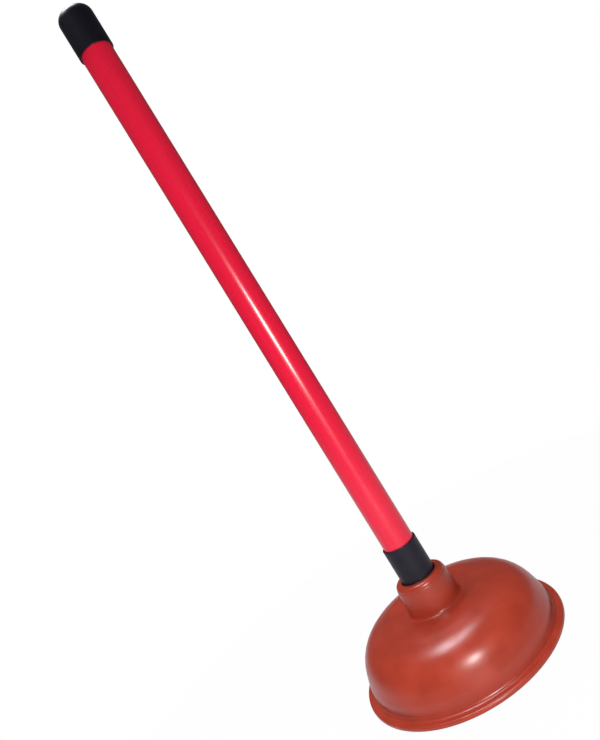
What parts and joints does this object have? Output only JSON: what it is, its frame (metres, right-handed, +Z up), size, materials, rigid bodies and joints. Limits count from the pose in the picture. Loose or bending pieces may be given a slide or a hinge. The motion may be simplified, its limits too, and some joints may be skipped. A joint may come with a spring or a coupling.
{
  "type": "toilet plunger",
  "caption": "Toilet plunger: domed rubber force cup with a thin flanged rim, screwed onto a straight plastic-coated tube handle with a push-on end cap.",
  "frame": {"origin": "centre of the rim's resting plane, on the axis of the cup and the handle", "axes": "+Z up along the handle, away from the cup; +X and +Y lie in the rim's plane"},
  "size_m": [0.144, 0.144, 0.49],
  "materials": {
    "cup_rubber": "moulded terracotta rubber, satin, faintly mottled",
    "ferrule_plastic": "moulded black plastic, matte",
    "tube_steel": "bare rolled steel tube, hidden",
    "handle_coating": "smooth red plastic coating, semi-gloss",
    "cap_plastic": "soft black plastic, matte"
  },
  "bodies": {
    "bell": {"cup_bell": "cup_rubber"},
    "neck": {"cup_neck": "cup_rubber"},
    "cap": {"end_cap": "cap_plastic"},
    "handle": {"threaded_ferrule": "ferrule_plastic", "steel_tube": "tube_steel", "tube_coating": "handle_coating"}
  },
  "joints": [
    {"name": "plunge", "type": "slide", "parent": "bell", "child": "neck", "axis": [0, 0, -1], "range_m": [0, 0.02], "stiffness_N_per_m": 2500, "springref_m": -0.001, "deforming": ["cup_bell"]},
    {"name": "screw_lift", "type": "slide", "parent": "neck", "child": "cap", "axis": [0, 0, 1], "range_m": [0, 0.03]},
    {"name": "screw_turn", "type": "hinge", "parent": "cap", "child": "handle", "pos_m": [0, 0, 0.058], "axis": [0, 0, 1], "range_deg": [0, 2160]}
  ],
  "couplings": [
    {"joint": "screw_lift", "follows": "screw_turn", "m_per_rad": 0.00079577}
  ]
}
